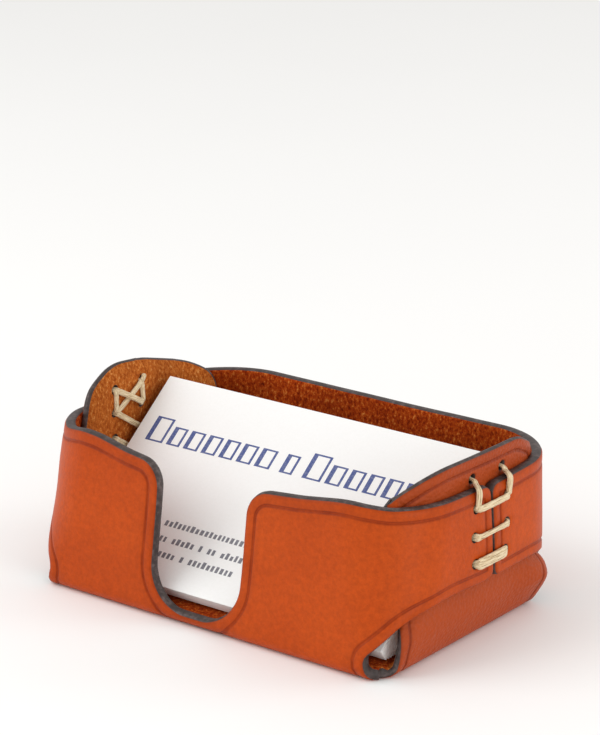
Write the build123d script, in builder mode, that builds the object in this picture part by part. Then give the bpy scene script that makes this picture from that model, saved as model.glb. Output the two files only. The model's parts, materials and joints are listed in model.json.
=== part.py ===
"""Desk holder for business cards: one leather blank folded into an open tray,
laced together at both ends with waxed thread, and the cards that stand in it.

Millimetres. The origin is the centre of the underside, X runs along the long
front, Y runs to the back and Z is up. The whole tray leans back a little.
"""

import os
from math import cos, pi, radians, sin, sqrt

from build123d import *

# ---- driving dimensions ---------------------------------------------------------
LEATHER = 2.5  # thickness of the blank
RIM_Z = 34.8  # top edge of the back wall and of the wings at the ends
FRONT_CORNER_Z = 36.2  # the top edge climbs to this at the two front corners
FLAP_TOP = 43.6  # top of the tongue that stands up inside each end
TRIM_TOP = 50.0  # every trimming cut reaches this high
REACH = 60.0  # and this far out to each side

# outside of the tray, level by level:
# height, half length, half depth, middle in Y, corner radius, end radius
BASE_FOLD = (0.0, 46.3, 29.3, -2.9, 8.0, 400.0)
BASE_SIDE = (2.5, 48.4, 31.2, -2.8, 9.5, 400.0)
WING_EDGE = (13.6, 52.5, 31.5, -0.9, 14.0, 160.0)
SHELL_TOP = (40.5, 51.1, 32.0, 3.1, 18.0, 160.0)
ABOVE_RIM = (FLAP_TOP + 1.0, 50.9, 32.1, 3.7, 18.2, 160.0)

SEAM_Y = 1.3  # the two wings of an end meet here
FLAP_HALF = 24.0  # half the width of a tongue
FLAP_SPREAD = 0.8  # it is this much wider at its root, on each side
FLAP_ROUND = 12.0  # radius of its two shoulders
FLAP_LAP_Z = 11.0  # it lies against the wings from this height up
PRESSED = 0.1  # how far the two layers are pressed into each other
SLIT = 0.6  # gap under the wings and between the two wings of an end

NOTCH_HALF = 12.0  # thumb notch in the front wall
NOTCH_FLOOR = 2.6
NOTCH_ROUND = 11.0
SHOULDER_HALF = 18.5  # the notch opens out to this where it meets the top edge
SHOULDER_Z = 33.2
SHOULDER_ROUND = 7.0

RELIEF_PLACE = (40.6, 25.4)  # teardrop opening at each bottom corner
RELIEF_ROUND = 4.1
RELIEF_Z = 6.0
RELIEF_TOP = 13.6
RELIEF_FLANK = (0.92, 1.6)  # where the straight flanks leave the circle
RELIEF_DEPTH = 14.0

HOLE_RADIUS = 1.5
HOLE_Y = 6.0  # the holes are this far each side of the seam
FLAP_HOLE_Z = 37.0  # top pair, through the tongue only
WING_HOLE_Z = (30.7, 24.7, 19.0)  # three pairs, through wing and tongue
THREAD = 1.0  # thread diameter
THREAD_BEND = 1.0  # radius of its turns at the holes
THREAD_LIFT = 0.15  # air between the thread and the leather
LANE = 0.6  # two strands that share a hole lie this far above and below it

CARD_SIZE = (88.9, 50.8)
CARD_THICK = 0.38
CARD_PITCH = 0.42  # from face to face in the squared-up pack
PACK_CARDS = 8  # cards lying flat on each other at the front
FAN_CARDS = 9  # cards behind them, each leaning back a little more
PACK_LEAN = 51.0  # degrees from upright
FAN_LEAN_STEP = 0.5
FRONT_CARD_Y = -29.0
FRONT_CARD_Z = 5.4
FAN_STEP_Y = 0.86
FLOOR_GAP = 0.3


def level_at(z, low, high):
    """The whole level at height z, between two of the levels above."""
    share = (z - low[0]) / (high[0] - low[0])
    return tuple(a + share * (b - a) for a, b in zip(low, high))


def tray_outline(level, inset):
    """Plan of the tray at one level: straight sides, round corners, bowed ends."""
    _, half_length, half_depth, middle_y, corner, end = level
    half_length, half_depth = half_length - inset, half_depth - inset
    corner, end = corner - inset, end - inset
    end_x = half_length - end
    corner_y = half_depth - corner
    corner_x = end_x + sqrt((end - corner) ** 2 - corner_y**2)
    side_x = end_x + end * (corner_x - end_x) / (end - corner)
    side_y = end * corner_y / (end - corner)
    turn = Vector(side_x - corner_x, side_y - corner_y) + Vector(0, corner)
    middle = Vector(corner_x, corner_y) + turn.normalized() * corner
    with BuildSketch() as plan:
        with Locations((0, middle_y)):
            with BuildLine():
                for sx, sy in ((1, -1), (1, 1), (-1, 1), (-1, -1)):
                    ThreePointArc(
                        (sx * corner_x, sy * half_depth),
                        (sx * middle.X, sy * middle.Y),
                        (sx * side_x, sy * side_y),
                    )
                for side in (-1, 1):
                    Line((-corner_x, side * half_depth), (corner_x, side * half_depth))
                    bulge = (side * half_length, 0)
                    ThreePointArc((side * side_x, -side_y), bulge, (side * side_x, side_y))
            make_face()
    return plan.sketch


def tray_solid(levels, inset):
    """Solid tray shape through the given levels, moved in by inset."""
    with BuildPart() as solid:
        for level in levels:
            with BuildSketch(Plane((0, level[3], level[0]))):
                add(tray_outline(level[:3] + (0.0,) + level[4:], inset))
        loft(ruled=True)
    return solid.part


def outer_face(z):
    """X of the outside of a wing beside the holes at height z."""
    level = level_at(z, WING_EDGE, SHELL_TOP)
    return level[1] - HOLE_Y**2 / (2 * level[5])


def trim_profile(half_width_low, low_points):
    """Closed region above the front's top edge on the +X side."""
    with BuildSketch() as region:
        with BuildLine():
            low = Spline(*low_points)
            corner = (REACH, TRIM_TOP)
            Polyline(low @ 0, (half_width_low, TRIM_TOP), corner, low @ 1)
        make_face()
    return region.sketch


# ---- the leather blank, folded ---------------------------------------------------
FLOOR = (LEATHER,) + BASE_SIDE[1:]
MIDDLE_DEPTH = 14.0  # the front wall's trims stop this far in front of the middle
SLOPE_START = 10.0

with BuildPart() as walls:
    add(tray_solid((BASE_FOLD, BASE_SIDE, WING_EDGE, SHELL_TOP), 0))
    hollow = tray_solid((FLOOR, WING_EDGE, SHELL_TOP, ABOVE_RIM), LEATHER)
    add(hollow, mode=Mode.SUBTRACT)

    # the top edge: low beside the notch, high at the front corners
    rising = (
        (SLOPE_START, SHOULDER_Z - 0.8),
        (SHOULDER_HALF, SHOULDER_Z + 0.3),
        (38, FRONT_CORNER_Z - 0.5),
        (REACH, FRONT_CORNER_Z),
    )
    with BuildSketch(Plane.XZ.offset(MIDDLE_DEPTH)):
        add(trim_profile(SLOPE_START, rising))
        mirror(about=Plane.YZ)
    extrude(amount=30, mode=Mode.SUBTRACT)
    with BuildSketch(Plane.YZ.offset(-REACH)):
        with BuildLine():
            rise = Spline(
                (-40, FRONT_CORNER_Z + 0.6),
                (-30, FRONT_CORNER_Z - 0.4),
                (-14, RIM_Z),
                tangents=((1, 0), (1, 0)),
            )
            Polyline(rise @ 1, (40, RIM_Z), (40, TRIM_TOP), (-40, TRIM_TOP), rise @ 0)
        make_face()
    extrude(amount=2 * REACH, mode=Mode.SUBTRACT)

    # the thumb notch, with its round floor and its round shoulders
    with BuildSketch(Plane.XZ.offset(20)):
        with BuildLine():
            half = FilletPolyline(
                (0, NOTCH_FLOOR),
                (NOTCH_HALF, NOTCH_FLOOR),
                (NOTCH_HALF, SHOULDER_Z),
                (2 * SHOULDER_HALF, SHOULDER_Z + 4),
                radius=(NOTCH_ROUND, SHOULDER_ROUND),
            )
            Polyline(half @ 1, (2 * SHOULDER_HALF, TRIM_TOP), (0, TRIM_TOP), half @ 0)
        make_face()
        mirror(about=Plane.YZ)
    extrude(amount=20, mode=Mode.SUBTRACT)

    # at each end: the seam between the two wings and the slit under them
    for side in (-1, 1):
        wing_x = (WING_EDGE[1] + SHELL_TOP[1]) / 2
        with BuildSketch(Plane.XY.offset(WING_EDGE[0])):
            with Locations((side * wing_x, SEAM_Y)):
                Rectangle(2 * LEATHER + SLIT, SLIT)
        extrude(amount=TRIM_TOP - WING_EDGE[0], mode=Mode.SUBTRACT)
        with BuildSketch(Plane.XY.offset(WING_EDGE[0] - SLIT)):
            with Locations((side * REACH, WING_EDGE[3])):
                slit_depth = 2 * (REACH - WING_EDGE[1] + 3 * LEATHER)
                Rectangle(slit_depth, 2 * FLAP_HALF + 4)
        extrude(amount=SLIT, mode=Mode.SUBTRACT)

    # the teardrop relief at each bottom corner
    for sx in (-1, 1):
        for sy in (-1, 1):
            place_x, place_y = RELIEF_PLACE
            corner = Plane(
                origin=(sx * place_x, sy * place_y + BASE_SIDE[3], RELIEF_Z),
                x_dir=(-sy, sx, 0),
                z_dir=(sx, sy, 0),
            )
            with BuildSketch(corner):
                Circle(RELIEF_ROUND)
                with BuildLine():
                    flank_x = RELIEF_ROUND * RELIEF_FLANK[0]
                    up = 1 if (corner.y_dir.Z > 0) else -1
                    Polyline(
                        (-flank_x, up * RELIEF_FLANK[1]),
                        (0, up * (RELIEF_TOP - RELIEF_Z)),
                        (flank_x, up * RELIEF_FLANK[1]),
                        close=True,
                    )
                make_face()
            extrude(amount=RELIEF_DEPTH, mode=Mode.SUBTRACT)

with BuildPart() as tongues:
    lapped = level_at(FLAP_LAP_Z, BASE_SIDE, WING_EDGE)
    lapped_levels = (lapped, WING_EDGE, SHELL_TOP, ABOVE_RIM)
    add(tray_solid(lapped_levels, LEATHER - PRESSED))
    add(tray_solid(lapped_levels, 2 * LEATHER), mode=Mode.SUBTRACT)
    root = FLAP_HALF + FLAP_SPREAD
    with BuildSketch(Plane.YZ.offset(-REACH)):
        with Locations((SEAM_Y, 0)):
            with BuildLine():
                FilletPolyline(
                    (-root, 0),
                    (-FLAP_HALF, FLAP_TOP),
                    (FLAP_HALF, FLAP_TOP),
                    (root, 0),
                    radius=FLAP_ROUND,
                )
                Line((-root, 0), (root, 0))
            make_face()
    extrude(amount=2 * REACH, mode=Mode.INTERSECT)

with BuildPart() as leather_body:
    add(walls.part)
    add(tongues.part)
    for side in (-1, 1):
        with BuildSketch(Plane.YZ.offset(side * (SHELL_TOP[1] - 4 * LEATHER))):
            for z in WING_HOLE_Z + (FLAP_HOLE_Z,):
                with Locations((SEAM_Y - HOLE_Y, z), (SEAM_Y + HOLE_Y, z)):
                    Circle(HOLE_RADIUS)
        extrude(amount=side * 6 * LEATHER, mode=Mode.SUBTRACT)

# ---- the lacing, one length of thread at each end --------------------------------
over = THREAD / 2 + THREAD_LIFT  # height of the thread's middle over the leather
crown = HOLE_Y**2 / (2 * SHELL_TOP[5])  # the end bulges this much between the holes
row_1, row_2, row_3 = WING_HOLE_Z


def outside(y, z):
    return Vector(outer_face(z) + over + crown, y, z)


def inside(y, z, lift=0.0):
    return Vector(outer_face(z) - 2 * LEATHER - over - lift, y, z)


FRONT, BACK = SEAM_Y - HOLE_Y, SEAM_Y + HOLE_Y
lace_route = [
    inside(BACK + 2.6, row_1 + 2.2),
    inside(BACK, row_1 + LANE),
    outside(BACK, row_1 + LANE),
    outside(BACK, FLAP_HOLE_Z),
    inside(BACK, FLAP_HOLE_Z),
    inside(FRONT, row_1 + LANE),
    outside(FRONT, row_1 + LANE),
    outside(FRONT, FLAP_HOLE_Z),
    inside(FRONT, FLAP_HOLE_Z),
    inside(SEAM_Y - 2.3, row_1 + 4.2, lift=1.5),
    inside(BACK, row_1 - LANE),
    outside(BACK, row_1 - LANE),
    outside(FRONT, row_1 - LANE),
    inside(FRONT, row_1 - LANE),
    inside(BACK, row_2),
    outside(BACK, row_2),
    outside(FRONT, row_2),
    inside(FRONT, row_2),
    inside(BACK, row_3 + LANE),
    outside(BACK, row_3 + LANE),
    outside(FRONT, row_3 + LANE),
    inside(FRONT, row_3 + LANE),
    inside(BACK, row_3 - LANE),
    outside(BACK, row_3 - LANE),
    outside(FRONT, row_3 - LANE),
    inside(FRONT, row_3 - LANE),
    inside(FRONT - 2.6, row_3 - 2.0),
]


def lacing(side):
    """The thread of one end, mirrored for the left end."""
    route = [Vector(side * p.X, p.Y, p.Z) for p in lace_route]
    with BuildPart() as lace:
        with BuildLine() as path:
            FilletPolyline(*route, radius=THREAD_BEND)
        with BuildSketch(Plane(origin=path.wire() @ 0, z_dir=path.wire() % 0)):
            Circle(THREAD / 2)
        sweep()
    length = path.wire().length
    section = pi * (THREAD / 2) ** 2
    print(f"lace length {length:.1f} mm, volume/tube {lace.part.volume / (section * length):.3f}")
    return lace.part


# ---- the cards -------------------------------------------------------------------
def card_place(index):
    """Lean in degrees and the bottom edge's Y and Z of one card's front face."""
    pack_lean = radians(PACK_LEAN)
    if index < PACK_CARDS:
        back = index * CARD_PITCH
        y = FRONT_CARD_Y + back * cos(pack_lean)
        z = FRONT_CARD_Z - back * sin(pack_lean)
        return PACK_LEAN, y, z
    step = index - PACK_CARDS + 1
    lean = PACK_LEAN + step * FAN_LEAN_STEP
    pack_back = (PACK_CARDS - 1) * CARD_PITCH * cos(pack_lean)
    z = LEATHER + FLOOR_GAP + CARD_THICK * sin(radians(lean))
    return lean, FRONT_CARD_Y + pack_back + step * FAN_STEP_Y, z


def card(index):
    """One card, leaning back from its bottom edge."""
    lean, y, z = card_place(index)
    face = Plane(
        origin=(0, y, z),
        x_dir=(1, 0, 0),
        z_dir=(0, -cos(radians(lean)), sin(radians(lean))),
    )
    with BuildPart() as one:
        with BuildSketch(face):
            with Locations((0, CARD_SIZE[1] / 2)):
                Rectangle(*CARD_SIZE)
        extrude(amount=-CARD_THICK)
    return one.part


# ---- write the pieces ------------------------------------------------------------
pieces = {
    "leather_body": leather_body.part,
    "lacing_left": lacing(-1),
    "lacing_right": lacing(1),
}
for number in range(PACK_CARDS + FAN_CARDS):
    pieces[f"card_{number + 1:02d}"] = card(number)

os.makedirs("parts", exist_ok=True)
for name, shape in pieces.items():
    shape.label = name
    export_step(shape, f"parts/{name}.step")
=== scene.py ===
"""Leather desk holder for business cards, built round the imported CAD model.

The tray is one leather blank. It is drawn flat, meshed, folded over levels close to
the CAD body's and given its thickness, painted edges and pressed crease lines.
Lengths in this script are in millimetres until MM turns them into metres.
"""

import json
import math

import bpy
import numpy as np
from mathutils import Matrix, Vector, geometry, noise

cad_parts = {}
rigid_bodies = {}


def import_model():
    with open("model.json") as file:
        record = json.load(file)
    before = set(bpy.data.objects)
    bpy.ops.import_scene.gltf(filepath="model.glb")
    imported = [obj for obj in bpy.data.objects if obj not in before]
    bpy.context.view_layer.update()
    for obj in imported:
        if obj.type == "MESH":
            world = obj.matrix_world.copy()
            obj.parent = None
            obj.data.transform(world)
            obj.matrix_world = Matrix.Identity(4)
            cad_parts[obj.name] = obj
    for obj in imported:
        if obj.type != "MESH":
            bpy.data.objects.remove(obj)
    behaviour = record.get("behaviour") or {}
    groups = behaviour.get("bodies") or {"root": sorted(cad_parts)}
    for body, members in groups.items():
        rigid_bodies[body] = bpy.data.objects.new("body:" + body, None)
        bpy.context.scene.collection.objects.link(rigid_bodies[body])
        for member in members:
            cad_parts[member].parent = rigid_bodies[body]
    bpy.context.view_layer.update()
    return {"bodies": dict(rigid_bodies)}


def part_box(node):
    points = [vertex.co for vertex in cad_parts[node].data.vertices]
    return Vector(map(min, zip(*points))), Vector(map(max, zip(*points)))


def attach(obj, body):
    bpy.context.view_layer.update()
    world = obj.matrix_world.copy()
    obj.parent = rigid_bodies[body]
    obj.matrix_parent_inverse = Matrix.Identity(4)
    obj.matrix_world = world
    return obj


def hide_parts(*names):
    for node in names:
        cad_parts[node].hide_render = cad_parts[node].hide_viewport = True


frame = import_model()

MM = 0.001
LEATHER = 2.5  # thickness
FOLD = 3.2  # outside radius of the four base folds
SEAM_Y = {1: 1.3, -1: -1.6}  # where the wings meet, at the right and the left end
SEAM_GAP = 0.5  # each wing stops this far short of the seam
BASE_END = 45.2  # the flat of the base ends here, where the folds start
BASE_FRONT = -30.8  # and here at the front
BASE_BACK = 25.2  # and at the back
WING_REF = 78.0  # blank length from the front's middle to the seam
LAP = 2.55  # the tongues lie this far inside the outer face of the wings
HOLE_RADIUS = 0.95
# rows of punched holes at each end: height, places before and behind the seam
HOLES = {
    1: ((36.4, -3.9, 7.6), (31.0, -6.3, 6.0), (25.0, -7.2, 5.6), (19.2, -7.2, 4.6)),
    -1: ((38.0, -5.0, 4.6), (32.7, -5.2, 4.9), (26.4, -5.6, 5.2), (20.2, -5.6, 5.4)),
}

# the outside of the tray: height, half length, half depth, middle, corner, bow
LEVELS = np.array(
    [
        (0.0, 48.4, 31.2, -2.8, 1.5, 0.0),
        (3.2, 48.7, 31.2, -2.8, 5.0, 0.2),
        (13.6, 52.3, 31.5, -0.9, 14.0, 1.2),
        (40.5, 51.1, 32.0, 3.1, 18.0, 1.2),
        (46.0, 50.9, 32.1, 3.9, 18.2, 1.2),
    ]
)
LEFT_TRIM = 0.8  # the left end stands this much further in below the rim
BACK_CORNER_EXTRA = 1.5  # the back corners are rounder than the front ones
FLARE = 1.7  # the tongues' back edges stand out this much under the wings
TONGUE_LEAN = 0.9  # the tongues' tops lean out by this much above the rim


# ---- folding the blank ------------------------------------------------------------
def level(z):
    """Half length, half depth, middle, corner radius and bow at heights z."""
    heights = LEVELS[:, 0]
    around = [np.clip(z + step, 0, heights[-1]) for step in (-3, -1.5, 0, 1.5, 3)]
    near_floor = np.clip(z / 4.0, 0, 1)
    values = []
    for column in range(1, LEVELS.shape[1]):
        sharp = np.interp(z, heights, LEVELS[:, column])
        soft = sum(np.interp(h, heights, LEVELS[:, column]) for h in around) / len(around)
        values.append(sharp + (soft - sharp) * near_floor)
    return values


def smoothstep(value, low, high):
    """0 below low, 1 above high, with a smooth climb between."""
    t = np.clip((value - low) / (high - low), 0, 1)
    return t * t * (3 - 2 * t)


def outline_point(u, z, inset, back):
    """Plan position and outward normal at arc length u from the front's (or the
    back's) middle, at height z, moved in by inset."""
    half_length, half_depth, middle, corner, bow = level(z)
    side = np.sign(u)
    half_length = half_length - np.where(side < 0, LEFT_TRIM * (1 - smoothstep(z, 16, 33)), 0)
    corner = corner + np.where(back, BACK_CORNER_EXTRA * smoothstep(z, 3, 14), 0)
    u = np.abs(u)
    straight = half_length - bow - corner
    turn = np.clip((u - straight) / corner, 0, math.pi / 2)
    rest = np.maximum(u - straight - corner * math.pi / 2, 0)
    x = np.minimum(u, straight) + corner * np.sin(turn)
    y = -half_depth + corner * (1 - np.cos(turn)) + rest
    x = x + bow * np.sin(turn) * (1 - (y / half_depth) ** 2)
    normal_x, normal_y = side * np.sin(turn), -np.cos(turn)
    flip = np.where(back, -1.0, 1.0)
    px = side * x - inset * normal_x
    py = middle + flip * (y - inset * normal_y)
    return px, py, normal_x, flip * normal_y


def to_seam(z, back, right):
    """Arc length from the front's or the back's middle to the seam of one end."""
    half_length, half_depth, middle, corner, bow = level(z)
    straight = half_length - bow - corner
    seam = np.where(right, SEAM_Y[1], SEAM_Y[-1])
    end = half_depth - corner + np.where(back, -1.0, 1.0) * (seam - middle)
    return straight + corner * math.pi / 2 + end


def to_end_middle(z):
    """Arc length from the front's middle to the middle of an end."""
    half_length, half_depth, _, corner, bow = level(z)
    return half_length - bow - corner + corner * math.pi / 2 + half_depth - corner


def fold_blank(a, b):
    """Outer surface point and outward normal for points of the flat blank."""
    a, b = np.asarray(a, float), np.asarray(b, float)
    beyond = np.clip(0.5 * (np.abs(a) - BASE_END), 0, 10)
    back = b > BASE_BACK + beyond
    on_wall = (b < BASE_FRONT - beyond) | back
    on_tongue = (np.abs(a) > BASE_END) & ~on_wall
    v = np.where(back, b - BASE_BACK, np.where(on_wall, BASE_FRONT - b, 0))
    v = np.where(on_tongue, np.abs(a) - BASE_END, v)
    angle = np.clip(v / FOLD, 0, 1) * math.pi / 2
    z = np.where(v > FOLD, v, FOLD * (1 - np.cos(angle)))
    inset = FOLD * (1 - np.sin(angle))

    stretch = (to_seam(z, back, a > 0) - WING_REF) * smoothstep(np.abs(a), 30, WING_REF)
    wall_u = a + np.sign(a) * stretch
    reach = b - LEVELS[0, 3]
    tongue_u = np.sign(a) * (to_end_middle(z) - np.abs(reach))
    lap = LAP * smoothstep(z, 6.5, 15.0) - TONGUE_LEAN * smoothstep(z, 34.0, 43.0)
    flare = FLARE * smoothstep(reach, 12, 26)
    flare = flare * smoothstep(z, 1, 8) * (1 - smoothstep(z, 10, 14.5))
    inset = inset + np.where(on_tongue, lap - flare, 0)
    u = np.where(on_tongue, tongue_u, wall_u)
    far_side = np.where(on_tongue, reach > 0, back)
    x, y, nx, ny = outline_point(u, z, inset, far_side)

    flat = ~(on_wall | on_tongue)
    x, y = np.where(flat, a, x), np.where(flat, b, y)
    point = np.stack([x, y, z], axis=-1)
    up = np.sin(angle)
    normal = np.stack([nx * up, ny * up, -np.cos(angle)], axis=-1)
    return point, normal


def surface(a, b, height=0.0):
    """A point of the folded blank, lifted off its grain side (or in, if negative)."""
    point, normal = fold_blank(np.array([a]), np.array([b]))
    return Vector(point[0] + height * normal[0])


# ---- the outline of the flat blank --------------------------------------------------
def rounded(corners, step=0.85):
    """Closed outline through (x, y, fillet radius) corners, evenly divided."""
    count = len(corners)
    arcs = []
    for i, (x, y, radius) in enumerate(corners):
        here = Vector((x, y))
        before = (Vector(corners[i - 1][:2]) - here).normalized()
        after = (Vector(corners[(i + 1) % count][:2]) - here).normalized()
        opening = before.angle(after)
        if radius <= 0 or opening > math.pi - 0.01:
            arcs.append([here])
            continue
        back_off = radius / math.tan(opening / 2)
        middle = here + (before + after).normalized() * radius / math.sin(opening / 2)
        start, end = here + before * back_off, here + after * back_off
        first = math.atan2(start.y - middle.y, start.x - middle.x)
        sweep = math.atan2(end.y - middle.y, end.x - middle.x) - first
        sweep = (sweep + math.pi) % (2 * math.pi) - math.pi
        parts = max(3, int(abs(sweep) * radius / min(step, 0.25 * radius + 0.2)))
        arcs.append(
            [
                middle + radius * Vector((math.cos(t), math.sin(t)))
                for t in (first + sweep * k / parts for k in range(parts + 1))
            ]
        )
    points = []
    for i, arc in enumerate(arcs):
        points += arc
        gap = arcs[(i + 1) % count][0] - arc[-1]
        parts = max(1, round(gap.length / step))
        points += [arc[-1] + gap * k / parts for k in range(1, parts)]
    return np.array([tuple(p) for p in points])


def front_half(side):
    """The front panel and its wing on one side: (along, height, fillet radius).
    The notch and the corner reliefs are not quite the same left and right."""
    notch, rim, foot = (9.6, 36.3, 43.2) if side > 0 else (13.9, 36.9, 43.4)
    return [
        (notch, 2.9, 9.5),
        (notch + 0.9 * (side > 0), 33.4, 6.0),
        (24.0, 34.7, 40.0),
        (35.0, rim, 25.0),
        (46.5, 35.1, 30.0),
        (62.0, 35.1, 60.0),
        (WING_REF - SEAM_GAP, 34.7, 2.2),
        (WING_REF - SEAM_GAP, 14.1, 2.0),
        (60.0, 14.5, 40.0),
        (51.2, 12.6, 14.0),
        (foot - 0.8, 4.8, 2.6),
        (foot + 0.3, 1.2, 1.6),
    ]


def back_half():
    """The back panel and its wing on one side, listed like the front."""
    return [
        (0, 34.9, 0),
        (40.0, 34.9, 60.0),
        (62.0, 34.9, 40.0),
        (WING_REF - SEAM_GAP, 34.5, 2.2),
        (WING_REF - SEAM_GAP, 14.1, 2.0),
        (60.0, 14.5, 40.0),
        (51.2, 12.6, 14.0),
        (42.4, 4.8, 2.6),
        (43.5, 1.2, 1.6),
    ]


def tongue(side):
    """One tongue, front to back: (across, height, radius). The two tongues were
    pulled to opposite sides when they were laced."""
    if side > 0:
        return [
            (-25.7, 1.8, 1.6),
            (-26.5, 12.0, 20.0),
            (-32.5, 33.0, 8.0),
            (-29.0, 36.7, 20.0),
            (-19.0, 41.3, 24.0),
            (11.5, 41.1, 9.0),
            (21.0, 37.5, 10.0),
            (27.0, 28.0, 12.0),
            (25.9, 1.8, 1.6),
        ]
    return [
        (-25.7, 1.8, 1.6),
        (-24.0, 12.0, 20.0),
        (-19.6, 30.0, 10.0),
        (-19.6, 38.0, 7.0),
        (-9.0, 43.6, 12.0),
        (2.0, 42.4, 30.0),
        (20.0, 37.6, 40.0),
        (29.0, 33.5, 8.0),
        (25.9, 1.8, 1.6),
    ]


def blank_outline():
    """The whole blank, anticlockwise from the front notch."""
    corners = [(a, BASE_FRONT - v, r) for a, v, r in front_half(1)]
    corners += [(BASE_END + v, w + LEVELS[0, 3], r) for w, v, r in tongue(1)]
    corners += [(a, BASE_BACK + v, r) for a, v, r in back_half()[::-1]]
    corners += [(-a, BASE_BACK + v, r) for a, v, r in back_half()[1:]]
    corners += [(-BASE_END - v, w + LEVELS[0, 3], r) for w, v, r in tongue(-1)[::-1]]
    corners += [(-a, BASE_FRONT - v, r) for a, v, r in front_half(-1)[::-1]]
    return rounded(corners)


def hole_spots():
    """Middles of the punched holes in the flat blank, by name."""
    spots = {}
    for side, rows in HOLES.items():
        for row, (z, front, back) in enumerate(rows):
            middle = float(level(np.array([z]))[2][0])
            for name, dy in (("front", front), ("back", back)):
                across = SEAM_Y[side] - middle + dy + LEVELS[0, 3]
                spots["tongue", side, name, row] = (side * (BASE_END + z), across)
                if row > 0:
                    b = BASE_FRONT - z if dy < 0 else BASE_BACK + z
                    spots["wing", side, name, row] = (side * (WING_REF - abs(dy)), b)
    return spots


# ---- meshing the blank ----------------------------------------------------------------
# distance in from an edge, drop of the grain side, drop of the flesh side
RINGS = (
    (0.0, 0.55, 0.50),
    (0.18, 0.20, 0.16),
    (0.55, 0.0, 0.0),
    (1.3, 0.0, 0.0),
    (2.1, 0.02, 0.0),
    (2.4, 0.14, 0.0),
    (2.6, 0.26, 0.0),
    (2.8, 0.14, 0.0),
    (3.1, 0.02, 0.0),
    (3.8, 0.0, 0.0),
)
HOLE_RINGS = ((0.0, 0.45, 0.35), (0.2, 0.16, 0.12), (0.6, 0.0, 0.0))
HOLE_SIDES = 16
GRAIN, FLESH, PAINTED = 0, 1, 2  # material slots of the tray
GRID = 1.7  # spacing of the mesh on the panels
FOLD_GRID = 1.1  # and along the folds
FOLD_REACH = 2.4  # the panel grid keeps this far from the middle of a fold
FOLD_SPAN = 43.6  # the front and back folds are meshed finely up to here
EDGE_BULGE = 0.14  # a cut edge stands out this much in its middle
EDGE_BAND = 0.25  # faces this near an edge carry the edge paint
SKIVING, SKIVED_WIDTH = 0.8, 2.6  # the tongues are pared thinner at their edges


def edge_distance(points, loops):
    """Distance from each point to the nearest segment of the closed loops."""
    best = np.full(len(points), 1e9)
    for loop in loops:
        start, end = loop, np.roll(loop, -1, axis=0)
        run = end - start
        size = (run**2).sum(axis=1)
        for low in range(0, len(points), 2000):
            chunk = points[low : low + 2000, None, :] - start[None]
            t = np.clip((chunk * run[None]).sum(axis=2) / size[None], 0, 1)
            gap = chunk - t[..., None] * run[None]
            nearest = np.sqrt((gap**2).sum(axis=2).min(axis=1))
            best[low : low + 2000] = np.minimum(best[low : low + 2000], nearest)
    return best


def inside_loop(points, loop):
    """Which of the points lie inside the closed loop."""
    inside = np.zeros(len(points), bool)
    x, y = points[:, 0], points[:, 1]
    for (x1, y1), (x2, y2) in zip(loop, np.roll(loop, -1, axis=0)):
        crosses = (y1 > y) != (y2 > y)
        if y1 != y2:
            inside ^= crosses & (x < (x2 - x1) * (y - y1) / (y2 - y1) + x1)
    return inside


def inward_normals(loop):
    """Unit directions from each point of the loop to its inside."""
    run = np.roll(loop, -1, axis=0) - np.roll(loop, 1, axis=0)
    run = run / np.linalg.norm(run, axis=1)[:, None]
    area = np.sum(loop[:, 0] * np.roll(loop[:, 1], -1) - np.roll(loop[:, 0], -1) * loop[:, 1])
    return np.stack([-run[:, 1], run[:, 0]], axis=1) * np.sign(area)


def blank_points(outline, holes):
    """Points of the flat blank: the loops first, then rings beside them and a grid."""
    kept = []
    for distance, _, _ in RINGS[1:]:
        ring = outline + inward_normals(outline) * distance
        kept.append(ring[edge_distance(ring, [outline]) > distance - 0.03])
    ring_zone = RINGS[-1][0] + 0.7
    low, high = outline.min(axis=0), outline.max(axis=0)
    rows = []
    for k, b in enumerate(np.arange(low[1], high[1], GRID * 0.87)):
        a = np.arange(low[0] + (k % 2) * GRID / 2, high[0], GRID)
        rows.append(np.stack([a, np.full(len(a), b)], axis=1))
    fold_steps = np.linspace(0, FOLD, 7)
    along = np.arange(-FOLD_SPAN + 0.1, FOLD_SPAN, FOLD_GRID)
    for v in fold_steps:
        for b in (BASE_FRONT - v, BASE_BACK + v):
            rows.append(np.stack([along, np.full(len(along), b)], axis=1))
        across = np.arange(BASE_FRONT + 3, BASE_BACK - 2, FOLD_GRID)
        for side in (-1, 1):
            rows.append(np.stack([np.full(len(across), side * (BASE_END + v)), across], axis=1))
    grid = np.concatenate(rows)
    a, b = np.abs(grid[:, 0]), grid[:, 1]
    front_gap, back_gap = np.abs(b - BASE_FRONT + FOLD / 2), np.abs(b - BASE_BACK - FOLD / 2)
    in_fold = (np.minimum(front_gap, back_gap) < FOLD_REACH) & (a < FOLD_SPAN)
    end_gap = np.abs(a - BASE_END - FOLD / 2)
    in_fold |= (end_gap < FOLD_REACH) & (b > BASE_FRONT) & (b < BASE_BACK)
    first_rows = np.arange(len(grid)) < sum(len(r) for r in rows[: -len(fold_steps) * 4])
    grid = grid[~(in_fold & first_rows)]
    grid = grid[inside_loop(grid, outline)]
    grid = grid[edge_distance(grid, [outline]) > ring_zone]
    points = np.concatenate(kept + [grid])
    points = points[inside_loop(points, outline)]
    clear = np.ones(len(points), bool)
    around = []
    for hole in holes:
        middle = hole.mean(axis=0)
        reach = np.linalg.norm(points - middle, axis=1)
        clear &= reach > HOLE_RADIUS + HOLE_RINGS[-1][0] + 0.35
        for distance, _, _ in HOLE_RINGS[1:]:
            around.append(middle + (hole - middle) * (1 + distance / HOLE_RADIUS))
    loops = np.concatenate([outline] + list(holes))
    return np.concatenate([loops, points[clear]] + around)


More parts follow.
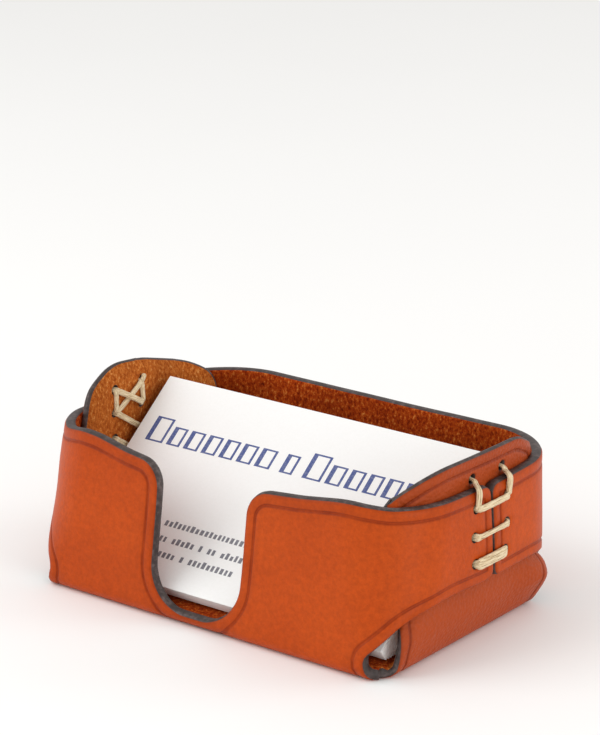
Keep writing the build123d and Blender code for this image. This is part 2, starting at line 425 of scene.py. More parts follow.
def drops(edge, hole):
    """How far the two sides lie back near edges and holes."""
    rings, holes = np.array(RINGS), np.array(HOLE_RINGS)
    grain = np.interp(edge, rings[:, 0], rings[:, 1])
    flesh = np.interp(edge, rings[:, 0], rings[:, 2])
    grain = np.maximum(grain, np.interp(hole, holes[:, 0], holes[:, 1]))
    flesh = np.maximum(flesh, np.interp(hole, holes[:, 0], holes[:, 2]))
    return grain, flesh


# slow waves of the leather: height, how quickly it changes, place in the noise
WAVES = ((0.55, 0.035, (0, 0, 0)), (0.12, 0.11, (7, 3, 1)))


def undulation(points):
    """Slow unevenness of the stiff leather, nothing at the desk."""
    lift = 0
    for height, rate, shift in WAVES:
        waves = [noise.noise(Vector(p) * rate + Vector(shift)) for p in points]
        lift = lift + np.array(waves) * height
    return lift * smoothstep(points[:, 2], 2.0, 12.0)


def triangulate(outline, holes):
    """Points and triangles of the flat blank, with the grain side facing down."""
    points = blank_points(outline, holes)
    edges, first = [], 0
    for loop in [outline] + holes:
        edges += [(first + i, first + (i + 1) % len(loop)) for i in range(len(loop))]
        first += len(loop)
    result = geometry.delaunay_2d_cdt([Vector(p) for p in points], edges, [], 0, 1e-4)
    points = np.array([tuple(p) for p in result[0]])
    triangles = np.array([tuple(f) for f in result[2]])
    middles = points[triangles].mean(axis=1)
    keep = inside_loop(middles, outline)
    for hole in holes:
        keep &= np.linalg.norm(middles - hole.mean(axis=0), axis=1) > HOLE_RADIUS * 0.97
    triangles = triangles[keep]
    p, q, r = (points[triangles[:, k]] for k in range(3))
    area = (q[:, 0] - p[:, 0]) * (r[:, 1] - p[:, 1]) - (r[:, 0] - p[:, 0]) * (q[:, 1] - p[:, 1])
    triangles = triangles[np.abs(area) > 1e-5]
    area = area[np.abs(area) > 1e-5]
    triangles[area > 0] = triangles[area > 0][:, ::-1]
    used = np.unique(triangles)
    number = np.full(len(points), -1)
    number[used] = np.arange(len(used))
    return points[used], number[triangles]


def hole_distance(points, holes):
    """Distance from each point to the nearest hole's edge, 0 inside a hole."""
    middles = np.array([h.mean(axis=0) for h in holes])
    reach = np.linalg.norm(points[:, None] - middles[None], axis=2).min(axis=1)
    return np.maximum(reach - HOLE_RADIUS, 0)


def both_sides(points, edge, hole, is_tongue):
    """Folded grain side and flesh side, the outer surface and its normals."""
    outer, normal = fold_blank(points[:, 0], points[:, 1])
    outer = outer + normal * undulation(outer)[:, None]
    grain_drop, flesh_drop = drops(edge, hole)
    pared = SKIVING * (1 - smoothstep(edge, 0.0, SKIVED_WIDTH))
    flesh_drop = flesh_drop + np.where(is_tongue, pared, 0)
    grain = outer - normal * grain_drop[:, None]
    flesh = outer - normal * (LEATHER - flesh_drop)[:, None]
    return grain, flesh, outer, normal


def border_pairs(triangles):
    """Point pairs along the cut edges, in the order their triangles run."""
    seen = [(int(tri[k]), int(tri[(k + 1) % 3])) for tri in triangles for k in range(3)]
    both_ways = set(seen)
    return [(i, j) for (i, j) in seen if (j, i) not in both_ways]


def edge_middles(border, rim, grain, flesh, outer, normal, hole):
    """Middles of the cut edges, bulged outward except inside the holes."""
    outward = {i: Vector((0, 0, 0)) for i in rim}
    for i, j in border:
        run = Vector(outer[j] - outer[i])
        side_way = run.cross(Vector(normal[i])).normalized()
        outward[i] += side_way
        outward[j] += side_way
    ring = []
    for i in rim:
        way = outward[i].normalized() if outward[i].length > 0 else Vector((0, 0, 0))
        bulge = EDGE_BULGE if hole[i] > 0.5 else 0.0
        ring.append((grain[i] + flesh[i]) / 2 + np.array(way) * bulge)
    return np.array(ring)


def leather_faces(triangles, border, rim, near, count):
    """Faces and material slots; near is each point's distance to a cut edge."""
    rim_number = {i: 2 * count + k for k, i in enumerate(rim)}
    faces, slots = [], []
    for tri in triangles:
        painted = PAINTED if near[tri].max() < EDGE_BAND else GRAIN
        faces.append(tuple(int(i) for i in tri))
        slots.append(painted)
        faces.append(tuple(int(i) + count for i in tri[::-1]))
        slots.append(painted or FLESH)
    for i, j in border:
        m_i, m_j = rim_number[i], rim_number[j]
        faces.append((j, i, m_i, m_j))
        faces.append((m_j, m_i, i + count, j + count))
        slots += [PAINTED, PAINTED]
    return faces, slots


def store_values(mesh, name, values):
    """Keep one number per point of the mesh, for the shaders."""
    store = mesh.attributes.new(name, "FLOAT", "POINT")
    store.data.foreach_set("value", values.astype(np.float32))


def make_leather():
    """The folded tray as one closed mesh with grain, flesh and edge faces."""
    outline = blank_outline()
    turn = np.linspace(0, 2 * math.pi, HOLE_SIDES, endpoint=False)
    circle = np.stack([np.cos(turn), np.sin(turn)], axis=1) * HOLE_RADIUS
    holes = [np.array(spot) + circle for spot in hole_spots().values()]
    points, triangles = triangulate(outline, holes)
    edge, hole = edge_distance(points, [outline]), hole_distance(points, holes)
    between = (points[:, 1] > BASE_FRONT) & (points[:, 1] < BASE_BACK)
    is_tongue = (np.abs(points[:, 0]) > BASE_END + 1) & between
    grain, flesh, outer, normal = both_sides(points, edge, hole, is_tongue)
    border = border_pairs(triangles)
    rim = sorted({i for pair in border for i in pair})
    ring = edge_middles(border, rim, grain, flesh, outer, normal, hole)
    near = np.minimum(edge, hole)
    faces, slots = leather_faces(triangles, border, rim, near, len(points))

    mesh = bpy.data.meshes.new("leather_tray")
    mesh.from_pydata((np.concatenate([grain, flesh, ring]) * MM).tolist(), [], faces)
    mesh.polygons.foreach_set("material_index", slots)
    mesh.polygons.foreach_set("use_smooth", [True] * len(faces))
    store_values(mesh, "edge_mm", np.concatenate([edge, edge, np.zeros(len(rim))]))
    store_values(mesh, "tongue", np.concatenate([is_tongue, is_tongue, is_tongue[rim]]))
    mesh.validate()
    mesh.update()
    tray = bpy.data.objects.new("leather_tray", mesh)
    bpy.context.scene.collection.objects.link(tray)
    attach(tray, "tray")
    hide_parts("leather_body")
    return tray


# ---- camera, light and floor ----------------------------------------------------------
def make_camera():
    """The fitted camera: bearing, height, roll, distance and where it aims."""
    azimuth, elevation, roll = (math.radians(v) for v in (37.69, 17.79, -0.15))
    distance, aim_right, aim_up, shear = 635.06, 2.84, 48.94, 2.9
    focal, picture_height = 2868.14, 735
    away = Vector(
        (
            math.sin(azimuth) * math.cos(elevation),
            -math.cos(azimuth) * math.cos(elevation),
            math.sin(elevation),
        )
    )
    right = Vector((math.cos(azimuth), math.sin(azimuth), 0))
    up = away.cross(right)
    spot = away * distance + right * aim_right + up * aim_up - Vector((0, shear, 0))
    turned = Matrix((right, up, away)).transposed().to_4x4() @ Matrix.Rotation(roll, 4, "Z")
    data = bpy.data.cameras.new("camera")
    data.sensor_fit = "VERTICAL"
    data.sensor_height = 36.0
    data.lens = focal * data.sensor_height / picture_height
    data.clip_end = 20
    camera = bpy.data.objects.new("camera", data)
    camera.matrix_world = Matrix.Translation(spot * MM) @ turned
    bpy.context.scene.collection.objects.link(camera)
    bpy.context.scene.camera = camera


# soft lights in metres and watts: name, place, what it points at, size, power
LIGHTS = (
    ("key", (-0.40, -0.42, 0.52), (-0.02, 0, 0.02), (0.55, 0.55), 2.0),
    ("side", (0.50, 0.55, 0.32), (0.03, 0.01, 0.02), (0.35, 0.35), 0.9),
    ("fill", (0.72, -0.22, 0.15), (0.05, -0.02, 0.01), (0.3, 0.25), 1.0),
)
ROOM_COLOR, ROOM_STRENGTH = (0.97, 0.965, 0.955, 1), 0.84


def area_light(name, place, aim, size, power):
    """A rectangular light at a place, turned to face its aim."""
    data = bpy.data.lights.new(name, "AREA")
    data.shape = "RECTANGLE"
    data.size, data.size_y = size
    data.energy = power
    light = bpy.data.objects.new(name, data)
    light.location = Vector(place)
    way = Vector(aim) - Vector(place)
    light.rotation_euler = way.to_track_quat("-Z", "Y").to_euler()
    bpy.context.scene.collection.objects.link(light)


def make_studio():
    """White room, a big soft light at the left, two weaker ones at the right."""
    world = bpy.data.worlds.new("studio")
    world.use_nodes = True
    room = world.node_tree.nodes["Background"]
    room.inputs["Color"].default_value = ROOM_COLOR
    room.inputs["Strength"].default_value = ROOM_STRENGTH
    bpy.context.scene.world = world
    bpy.context.scene.view_settings.view_transform = "Standard"
    for light in LIGHTS:
        area_light(*light)
    bpy.ops.mesh.primitive_plane_add(size=12)
    floor = bpy.context.active_object
    floor.name = "floor"
    floor.data.materials.append(floor_paper())


# ---- materials ------------------------------------------------------------------------
def nodes_of(material):
    """Its nodes and its links."""
    return material.node_tree.nodes, material.node_tree.links


def shaded(name, color, roughness):
    """A new material with its links and its shader, which has this colour and
    roughness wherever nothing is wired."""
    material = bpy.data.materials.new(name)
    material.use_nodes = True
    nodes, links = nodes_of(material)
    shader = nodes["Principled BSDF"]
    shader.inputs["Base Color"].default_value = (*color, 1)
    shader.inputs["Roughness"].default_value = roughness
    return material, links, shader


def add_node(nodes, kind, **values):
    """A new shader node with its settings or input values given by name."""
    node = nodes.new("ShaderNode" + kind)
    for name, value in values.items():
        if hasattr(node, name):
            setattr(node, name, value)
        else:
            node.inputs[name.replace("_", " ").title()].default_value = value
    return node


def object_noise(material, scale, detail=4.0, rough=0.55, stretch=(1, 1, 1)):
    """Noise fixed to the object; scale is in spots per metre. Returns its output."""
    nodes, links = nodes_of(material)
    place = add_node(nodes, "TexCoord")
    mapping = add_node(nodes, "Mapping")
    mapping.inputs["Scale"].default_value = stretch
    spots = add_node(nodes, "TexNoise", scale=scale, detail=detail, roughness=rough)
    links.new(place.outputs["Object"], mapping.inputs["Vector"])
    links.new(mapping.outputs["Vector"], spots.inputs["Vector"])
    return spots.outputs["Fac"]


def ramp(material, source, stops):
    """Colour (or grey) ramp on a value; stops are (position, colour)."""
    nodes, links = nodes_of(material)
    node = add_node(nodes, "ValToRGB")
    while len(node.color_ramp.elements) < len(stops):
        node.color_ramp.elements.new(0.5)
    for element, (position, color) in zip(node.color_ramp.elements, stops):
        element.position = position
        element.color = (*color, 1)
    links.new(source, node.inputs["Fac"])
    return node.outputs["Color"]


def shade(material, source, dark, low, high):
    """Grey multiplier that goes from dark up to 1 as source goes from low to high."""
    return ramp(material, source, ((low, (dark, dark, dark)), (high, (1.0, 1.0, 1.0))))


def mixed(material, first, second, amount, mode="MIX"):
    """Mix two colours; any of the three may be a socket or a value."""
    nodes, links = nodes_of(material)
    node = add_node(nodes, "Mix", data_type="RGBA", blend_type=mode)
    for name, item in (("A", first), ("B", second)):
        socket = [i for i in node.inputs if i.name == name and i.type == "RGBA"][0]
        if isinstance(item, tuple):
            socket.default_value = (*item, 1)
        else:
            links.new(item, socket)
    factor = [i for i in node.inputs if i.name == "Factor" and i.type == "VALUE"][0]
    if isinstance(amount, (int, float)):
        factor.default_value = amount
    else:
        links.new(amount, factor)
    return [o for o in node.outputs if o.type == "RGBA"][0]


def attribute(material, name):
    """A value stored on the mesh's points."""
    nodes, _ = nodes_of(material)
    return add_node(nodes, "Attribute", attribute_name=name).outputs["Fac"]


def bumped(material, heights):
    """Chain of bumps: (source, strength, distance in mm)."""
    nodes, links = nodes_of(material)
    last = None
    for source, strength, depth in heights:
        bump = add_node(nodes, "Bump")
        bump.inputs["Strength"].default_value = strength
        bump.inputs["Distance"].default_value = depth * MM
        links.new(source, bump.inputs["Height"])
        if last:
            links.new(last, bump.inputs["Normal"])
        last = bump.outputs["Normal"]
    links.new(last, nodes["Principled BSDF"].inputs["Normal"])


def scaled(material, source, low, high, top=1.0):
    """A value from 0 to top stretched to low..high."""
    nodes, links = nodes_of(material)
    node = add_node(nodes, "MapRange")
    node.inputs["From Max"].default_value = top
    node.inputs["To Min"].default_value = low
    node.inputs["To Max"].default_value = high
    links.new(source, node.inputs["Value"])
    return node.outputs["Result"]


def cells(material, scale):
    """Cell pattern fixed to the object, in cells per metre. Returns its distance."""
    nodes, links = nodes_of(material)
    place = add_node(nodes, "TexCoord")
    spots = add_node(nodes, "TexVoronoi", scale=scale)
    links.new(place.outputs["Object"], spots.inputs["Vector"])
    return spots.outputs["Distance"]


LINE_SPAN = 5.0  # the edge lines are drawn within this many mm of an edge


def leather_grain():
    """Smooth tan hide: cloudy colour, fine pores, dark pressed line at the edges."""
    material, links, shader = shaded("leather_grain", (0.5, 0.1, 0.03), 0.42)
    clouds = object_noise(material, 38, detail=6.0, rough=0.6)
    base = ramp(
        material,
        clouds,
        ((0.36, (0.47, 0.060, 0.004)), (0.50, (0.51, 0.067, 0.005)), (0.66, (0.55, 0.076, 0.006))),
    )
    mottle = object_noise(material, 900, detail=6.0, rough=0.7)
    specks = shade(material, mottle, 0.78, 0.36, 0.64)
    base = mixed(material, base, specks, 0.9, "MULTIPLY")
    # painted shade and tint of the light at the ends: the tongues' grain is mixed toward a darker,
    # pinker tone, though it is the same hide as the walls
    on_tongue = scaled(material, attribute(material, "tongue"), 0, 0.7)
    tongue_painted_shade = mixed(material, base, (0.37, 0.060, 0.014), on_tongue)
    edge = attribute(material, "edge_mm")
    lines = ramp(
        material,
        scaled(material, edge, 0, 1, LINE_SPAN),
        (
            (0.0, (0.34, 0.30, 0.34)),
            (0.07, (0.74, 0.70, 0.72)),
            (0.16, (0.90, 0.88, 0.88)),
            (0.42, (0.88, 0.84, 0.84)),
            (0.46, (0.44, 0.33, 0.38)),
            (0.51, (0.66, 0.56, 0.58)),
            (0.56, (0.46, 0.35, 0.40)),
            (0.63, (0.93, 0.92, 0.92)),
            (0.98, (1.0, 1.0, 1.0)),
        ),
    )
    worn = object_noise(material, 160, detail=3.0)
    lines = mixed(material, lines, (1.0, 1.0, 1.0), scaled(material, worn, -0.3, 0.75))
    color = mixed(material, tongue_painted_shade, lines, 1.0, "MULTIPLY")
    links.new(color, shader.inputs["Base Color"])
    links.new(scaled(material, mottle, 0.36, 0.52), shader.inputs["Roughness"])
    shader.inputs["Specular IOR Level"].default_value = 0.13
    pores = cells(material, 1900)
    pebble = cells(material, 1150)
    pebble = mixed(material, (0.5, 0.5, 0.5), pebble, attribute(material, "tongue"))
    bumped(
        material,
        (
            (object_noise(material, 260, detail=5.0), 0.35, 0.25),
            (pores, 0.22, 0.12),
            (pebble, 0.55, 0.28),
        ),
    )
    return material


def leather_suede():
    """Flesh side: short brushed fibres, rust orange with pale flecks; paler on the tongues, which is
    painted light.
    """
    material, links, shader = shaded("leather_suede", (0.45, 0.15, 0.04), 0.95)
    fibres = object_noise(material, 1500, detail=8.0, rough=0.72, stretch=(1, 1, 0.7))
    base = ramp(
        material,
        fibres,
        (
            (0.34, (0.12, 0.010, 0.001)),
            (0.46, (0.35, 0.034, 0.002)),
            (0.57, (0.53, 0.085, 0.007)),
            (0.68, (0.84, 0.32, 0.07)),
        ),
    )
    clouds = object_noise(material, 60, detail=4.0)
    base = mixed(material, base, shade(material, clouds, 0.62, 0.3, 0.7), 0.8, "MULTIPLY")
    # painted light: this paler copy of the suede goes on the tongues, where the key light falls on
    # the flesh side; the darker base above is the shaded copy, partly painted shade
    pale = ramp(
        material,
        fibres,
        (
            (0.34, (0.32, 0.060, 0.006)),
            (0.47, (0.52, 0.130, 0.018)),
            (0.58, (0.68, 0.220, 0.040)),
            (0.68, (0.90, 0.48, 0.17)),
        ),
    )
    pale = mixed(material, pale, shade(material, clouds, 0.7, 0.35, 0.65), 0.9, "MULTIPLY")
    suede_painted_light = mixed(material, base, pale, scaled(material, attribute(material, "tongue"), 0, 0.8))
    links.new(suede_painted_light, shader.inputs["Base Color"])
    shader.inputs["Specular IOR Level"].default_value = 0.08
    bumped(material, ((fibres, 0.9, 0.5), (object_noise(material, 2600, detail=3.0), 0.5, 0.15)))
    return material


def leather_edge():
    """Cut edge, painted dark brown and burnished, with fine ridges."""
    material, links, shader = shaded("leather_edge", (0.06, 0.04, 0.033), 0.5)
    streaks = object_noise(material, 700, detail=5.0, rough=0.6)
    base = ramp(
        material,
        streaks,
        ((0.34, (0.022, 0.012, 0.010)), (0.52, (0.046, 0.029, 0.026)), (0.70, (0.115, 0.084, 0.080))),
    )
    links.new(base, shader.inputs["Base Color"])
    links.new(scaled(material, streaks, 0.42, 0.66), shader.inputs["Roughness"])
    bumped(material, ((streaks, 0.6, 0.2),))
    return material


def floor_paper():
    """White studio paper with the faintest unevenness."""
    material, links, shader = shaded("floor_paper", (0.93, 0.925, 0.915), 0.95)
    cloud = object_noise(material, 6, detail=2.0)
    tone = ramp(material, cloud, ((0.3, (0.955, 0.95, 0.94)), (0.7, (0.965, 0.96, 0.95))))
    links.new(tone, shader.inputs["Base Color"])
    shader.inputs["Specular IOR Level"].default_value = 0.0
    return material


def waxed_thread():
    """Flat waxed linen: cream, with lengthwise filaments, darker where they dip."""
    material, links, shader = shaded("waxed_thread", (0.80, 0.66, 0.36), 0.55)
    nodes = material.node_tree.nodes
    strand = add_node(nodes, "Attribute", attribute_name="strand")
    spin = add_node(nodes, "TexNoise", scale=1.0, detail=4.0, roughness=0.6)
    links.new(strand.outputs["Vector"], spin.inputs["Vector"])
    filaments = spin.outputs["Fac"]
    base = ramp(
        material,
        filaments,
        ((0.34, (0.30, 0.17, 0.07)), (0.44, (0.62, 0.46, 0.25)), (0.58, (0.80, 0.67, 0.44))),
    )
    links.new(base, shader.inputs["Base Color"])
    shader.inputs["Sheen Weight"].default_value = 0.15
    bumped(material, ((filaments, 0.7, 0.15),))
    return material


def card_paper():
    """White uncoated card, very slightly mottled."""
    material, links, shader = shaded("card_paper", (0.86, 0.86, 0.85), 0.6)
    pulp = object_noise(material, 1800, detail=4.0)
    base = ramp(material, pulp, ((0.3, (0.92, 0.92, 0.905)), (0.7, (0.945, 0.945, 0.935))))
    links.new(base, shader.inputs["Base Color"])
    shader.inputs["Specular IOR Level"].default_value = 0.3
    bumped(material, ((pulp, 0.12, 0.03),))
    return material


def ink(name, color):
    """Printed ink, a little uneven."""
    material, links, shader = shaded(name, color, 0.55)
    pulp = object_noise(material, 2400, detail=3.0)
    pale = tuple(0.75 * c + 0.2 for c in color)
    tone = ramp(material, pulp, ((0.45, color), (0.85, pale)))
    links.new(tone, shader.inputs["Base Color"])
    return material


# ---- lacing ---------------------------------------------------------------------------
SPOTS = hole_spots()
THREAD_WIDTH = 1.55
THREAD_THICK = 0.7
THREAD_SIDES = 10  # points round the thread
DIVE = 1.6  # how deep a strand's ends go into the holes
RISE = 0.42  # how high a strand lies over the leather
HOLE_STEP, HOLE_LIFT = 0.25, 0.1  # where a strand comes over the lip of a hole
RIM_LIFT = 0.55  # how far out a strand passes the wing's top edge
PAIR_SHIFT = 0.42  # half the spacing of two strands side by side
WING_TOP = 35.0  # height of the wings' top edge at the seam


def spot_on_leather(part, side, name, row, inside):
    """A hole's middle on the grain side, or on the flesh side, and the way out there."""
    a, b = SPOTS[part, side, name, row]
    normal = Vector(fold_blank(np.array([a]), np.array([b]))[1][0])
    spot = surface(a, b, -LEATHER if inside else 0.0)
    return spot, -normal if inside else normal


def smooth_path(points, steps=7):
    """Catmull-Rom line through the points."""
    padded = [points[0] * 2 - points[1]] + points + [points[-1] * 2 - points[-2]]
    line = []
    for i in range(1, len(padded) - 2):
        p0, p1, p2, p3 = padded[i - 1 : i + 3]
        for k in range(steps):
            t = k / steps
            line.append(
                0.5
                * (
                    2 * p1
                    + (p2 - p0) * t
                    + (2 * p0 - 5 * p1 + 4 * p2 - p3) * t * t
                    + (3 * p1 - p0 - 3 * p2 + p3) * t**3
                )
            )
    return line + [points[-1]]


def ribbon(points, out, width, thick, seed, waist=0.0):
    """Closed flat band along points; out is the way its broad side faces. waist is
    how much narrower it is halfway. Also returns each point's place in the twist."""
    line, around = smooth_path(points), THREAD_SIDES
    across = (points[-1] - points[0]).cross(out).normalized()
    vertices, faces, strand = [], [], []
    for i, p in enumerate(line):
        ahead = (line[min(i + 1, len(line) - 1)] - line[max(i - 1, 0)]).normalized()
        top = across.cross(ahead).normalized()
        uneven = 1 + 0.13 * noise.noise(Vector((seed * 3.1, i * 0.33, 0)))
        ends = min(1.0, 0.55 + 0.2 * min(i, len(line) - 1 - i))
        ends *= 1 - waist * math.sin(math.pi * i / (len(line) - 1)) ** 4
        for k in range(around):
            t = 2 * math.pi * k / around
            ridge = 1 + 0.07 * noise.noise(Vector((seed, k * 0.8, i * 0.12)))
            x = math.copysign(abs(math.cos(t)) ** 0.75, math.cos(t)) * width / 2 * uneven * ends
            y = math.copysign(abs(math.sin(t)) ** 0.75, math.sin(t)) * thick / 2 * ridge
            vertices.append(p + across * x + top * y)
            strand.append((5.5 * x, 5.5 * y + 7 * seed, 0.16 * i))
    for i in range(len(line) - 1):
        for k in range(around):
            j, n = i * around + k, i * around + (k + 1) % around
            faces.append((j, j + around, n + around, n))
    faces.append(tuple(range(around)))
    faces.append(tuple(range((len(line) - 1) * around, len(line) * around))[::-1])
    return vertices, faces, strand


def stitch(start, end, out_start, out_end, bow, rise=RISE, over=None, shift=0.0):
    """Points of one strand: up out of one hole, across, and down into the next.
    over is a point that it has to pass outside of."""
    run = (end - start).normalized()
    out = (out_start + out_end).normalized()
    aside = run.cross(out) * shift
    points = [start - out_start * DIVE]
    points.append(start + run * HOLE_STEP + aside * 0.5 + out_start * HOLE_LIFT)
    points.append(start + run + out_start * rise + aside)
    if over is None:
        for t in (0.35, 0.65):
            points.append(start.lerp(end, t) + out * (rise + bow) + aside)
    else:
        points.append(over + aside)
    points.append(end - run + out_end * rise + aside)
    points.append(end - run * HOLE_STEP + aside * 0.5 + out_end * HOLE_LIFT)
    points.append(end - out_end * DIVE)
    return points, out


def end_strands(side):
    """Every visible strand of one end as (points, facing, width factor, waist)."""

    def at(name, row, inside):
        part = "tongue" if inside or row == 0 else "wing"
        return spot_on_leather(part, side, name, row, inside)

    strands = []

    def lay(first, second, inside=False, width=1.0, waist=0.0, bow=0.0, **more):
        (start, out_a), (end, out_b) = at(*first, inside), at(*second, inside)
        points, out = stitch(start, end, out_a, out_b, bow, **more)
        strands.append((points, out, width, waist))

    def rim_above(name):
        """Just outside the top edge of the wing, over its top holes."""
        along = SPOTS["wing", side, name, 1][0]
        top = BASE_FRONT - WING_TOP if name == "front" else BASE_BACK + WING_TOP
        return surface(along, top, RIM_LIFT)

    for name in ("front", "back"):
        for shift in (-PAIR_SHIFT, PAIR_SHIFT):
            lay((name, 0), (name, 1), shift=shift, width=0.72, over=rim_above(name))
    lay(("front", 1), ("back", 1), bow=0.15, rise=0.5)
    lay(("front", 2), ("back", 2), bow=0.10, rise=0.5, width=1.15, waist=0.45)
    lay(("front", 3), ("back", 3), bow=0.10, rise=0.5, shift=0.75, width=0.8)
    lay(("front", 3), ("back", 3), bow=0.35, rise=0.6, shift=0.05, width=0.8)
    lay(("front", 3), ("back", 3), bow=0.15, rise=0.5, shift=-0.7, width=0.75)
    for name in ("front", "back"):
        lay((name, 0), (name, 1), inside=True, width=0.9)
    lay(("front", 0), ("back", 1), inside=True, bow=0.5, rise=0.7, width=0.9)
    lay(("back", 0), ("front", 1), inside=True, bow=0.1, rise=0.5, width=0.9)
    lay(("front", 1), ("back", 2), inside=True, bow=0.1, width=0.9)
    lay(("front", 2), ("back", 3), inside=True, bow=0.1, width=0.9)
    return strands


def thread_tail(side):
    """The cut end of the thread, just above the cross inside the tongue."""
    start, normal = spot_on_leather("tongue", side, "back", 0, inside=True)
    way = Vector((0, 0.5, 0.85))
    points = [start - normal * 1.2, start + normal * 0.35, start + way * 0.9 + normal * 0.6]
    points.append(start + way * 1.7 + normal * 0.5)
    return points, normal, 0.85, 0.0


def make_lacing(side, name, node):
    """All the thread of one end as one object in place of the CAD lacing."""
    vertices, faces, strand = [], [], []
    strands = end_strands(side) + [thread_tail(side)]
    for seed, (points, out, factor, waist) in enumerate(strands, 10 * side):
        v, f, s = ribbon(points, out, THREAD_WIDTH * factor, THREAD_THICK, seed, waist)
        faces += [tuple(i + len(vertices) for i in face) for face in f]
        vertices += v
        strand += s
    mesh = bpy.data.meshes.new(name)
    mesh.from_pydata([tuple(v * MM) for v in vertices], [], faces)
    mesh.polygons.foreach_set("use_smooth", [True] * len(faces))
    store = mesh.attributes.new("strand", "FLOAT_VECTOR", "POINT")
    store.data.foreach_set("vector", np.array(strand, np.float32).ravel())
    mesh.update()
    lacing = bpy.data.objects.new(name, mesh)
    bpy.context.scene.collection.objects.link(lacing)
    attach(lacing, "tray")
    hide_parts(node)
    return lacing


# ---- cards ----------------------------------------------------------------------------
CARD_LENGTH, CARD_HEIGHT, CARD_THICK = 88.9, 50.8, 0.38
CARD_COUNT = 17
CARD_BOW = 0.05  # the middle of a card stands this far forward of its ends

# greeked print, no letters: hollow blocks in two sizes, and rows of small ticks
PRINT_LIFT = 0.03
HEADLINE_LEFT, HEADLINE_LOW, HEADLINE_CLIMB = -40.9, 33.5, 0.012
BLOCK_GROUPS = (7, 1, 8)
TALL_BLOCK, LOW_BLOCK = (5.0, 6.6), (3.8, 4.9)  # width and height
BLOCK_GAP, WORD_GAP = 1.15, 1.6
STEM, THIN_STEM, BAR = 1.15, 0.6, 0.4  # line widths of a block
SMALL_ROWS = ((-39.5, 3.0, 14.2), (-38.0, 1.5, 10.3), (-36.0, 0.5, 6.6))  # start, end, low
TICK_WIDTH, TICK_HEIGHT, TICK_GAP = 0.75, 1.35, 0.5


def card_plane(node):
    """Bottom edge and lean of a card, from the box of its CAD node."""
    low, high = (Vector(corner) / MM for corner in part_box(node))
    span_y, span_z = high.y - low.y, high.z - low.z
    slope = span_z * CARD_HEIGHT - CARD_THICK * span_y
    lean = math.acos(slope / (CARD_HEIGHT**2 - CARD_THICK**2))
    bottom = Vector((0, low.y, low.z + CARD_THICK * math.sin(lean)))
    up = Vector((0, math.sin(lean), math.cos(lean)))
    out = Vector((0, -math.cos(lean), math.sin(lean)))
    return bottom, up, out


def slab(node, left, right, low, high, front=PRINT_LIFT, back=0.0, parts=(1, 1), bow=CARD_BOW):
    """Closed thin slab on a card: x from left to right, low to high up the card,
    between two depths, bowed forward in the middle of the card."""
    bottom, up, out = card_plane(node)
    xs = np.linspace(left, right, parts[0] + 1)
    ys = np.linspace(low, high, parts[1] + 1)
    vertices, faces = [], []
    for depth in (front, back):
        for y in ys:
            for x in xs:
                curl = bow * (1 - (2 * x / CARD_LENGTH) ** 2)
                vertices.append(bottom + Vector((x, 0, 0)) + up * y + out * (depth + curl))
    row, sheet = len(xs), len(xs) * len(ys)
    for j in range(len(ys) - 1):
        for i in range(len(xs) - 1):
            k = j * row + i
            faces.append((k, k + 1, k + 1 + row, k + row))
            faces.append((k + row + sheet, k + 1 + row + sheet, k + 1 + sheet, k + sheet))
    border = list(range(row)) + [row * (j + 1) - 1 for j in range(1, len(ys))]
    border += list(range(sheet - 2, sheet - row - 1, -1))
    border += [row * j for j in range(len(ys) - 2, 0, -1)]
    for i, j in zip(border, border[1:] + border[:1]):
        faces.append((j, i, i + sheet, j + sheet))
    return vertices, faces


def card_object(name, parts, body, material):
    """Slabs joined into one object that rides a body."""
    vertices, faces = [], []
    for v, f in parts:
        faces += [tuple(i + len(vertices) for i in face) for face in f]
        vertices += v
    mesh = bpy.data.meshes.new(name)
    mesh.from_pydata([tuple(v * MM) for v in vertices], [], faces)
    mesh.update()
    mesh.materials.append(material)
    item = bpy.data.objects.new(name, mesh)
    bpy.context.scene.collection.objects.link(item)
    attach(item, body)
    return item


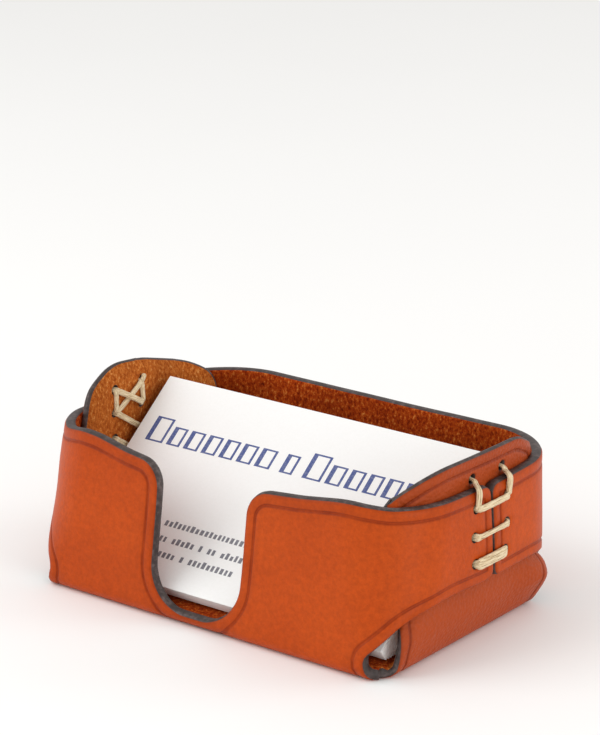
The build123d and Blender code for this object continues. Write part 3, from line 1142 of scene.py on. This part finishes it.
def make_cards(paper):
    """The cards, each cut a hair differently."""
    for number in range(1, CARD_COUNT + 1):
        node = f"card_{number:02d}"
        body = node if node in frame["bodies"] else "tray"
        trim = 0.12 * noise.noise(Vector((number * 1.7, 0, 0)))
        bow = CARD_BOW + 0.02 * noise.noise(Vector((0, number * 1.3, 0)))
        left, right = -CARD_LENGTH / 2 + 0.05 + trim, CARD_LENGTH / 2 - 0.05 + trim
        sheet = slab(node, left, right, 0.02, CARD_HEIGHT - 0.03, -0.01, -0.34, (24, 6), bow)
        card = card_object(f"{node}_sheet", [sheet], body, paper)
        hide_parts(node)
        card.modifiers.new("soft_edges", "BEVEL").width = 0.04 * MM


def headline_blocks():
    """(left, width, height) of the blocks; a group of more than one starts tall."""
    blocks, x = [], HEADLINE_LEFT
    for group in BLOCK_GROUPS:
        for i in range(group):
            tall = i == 0 and group > 1
            wide, high = TALL_BLOCK if tall else LOW_BLOCK
            if not tall:
                wide += 0.7 * noise.noise(Vector((x, 3, 0)))
            blocks.append((x, wide, high))
            x += wide + BLOCK_GAP
        x += WORD_GAP
    return blocks


def make_headline(colour):
    """The row of hollow blocks near the top of the front card."""
    bars = []
    for left, width, height in headline_blocks():
        low = HEADLINE_LOW + (left + 41) * HEADLINE_CLIMB
        right = left + width
        for x, end, z, top in (
            (left, left + STEM, low, low + height),
            (right - THIN_STEM, right, low, low + height),
            (left + STEM, right - THIN_STEM, low, low + BAR),
            (left + STEM, right - THIN_STEM, low + height - BAR, low + height),
        ):
            bars.append(slab("card_01", x, end, z, top))
    card_object("card_01_headline", bars, "card_01", colour)


def make_small_print(colour):
    """Three rows of ticks of uneven size, with gaps where words would end."""
    ticks = []
    for row, (start, end, low) in enumerate(SMALL_ROWS):
        x = start
        while x < end:
            wide = TICK_WIDTH + 0.35 * noise.noise(Vector((x * 1.9, row, 0)))
            tall = TICK_HEIGHT + 0.45 * noise.noise(Vector((x * 2.3, row + 5, 0)))
            if noise.noise(Vector((x * 0.9, row + 9, 0))) < 0.28:
                ticks.append(slab("card_01", x, x + wide, low, low + tall))
            x += wide + TICK_GAP
    card_object("card_01_small_print", ticks, "card_01", colour)


# ---- the scene ------------------------------------------------------------------------
tray = make_leather()
for surface_material in (leather_grain(), leather_suede(), leather_edge()):
    tray.data.materials.append(surface_material)
thread = waxed_thread()
for side, end in ((-1, "left"), (1, "right")):
    make_lacing(side, f"thread_{end}", f"lacing_{end}").data.materials.append(thread)
make_cards(card_paper())
make_headline(ink("ink_blue", (0.045, 0.075, 0.26)))
make_small_print(ink("ink_grey", (0.17, 0.17, 0.20)))
make_camera()
make_studio()
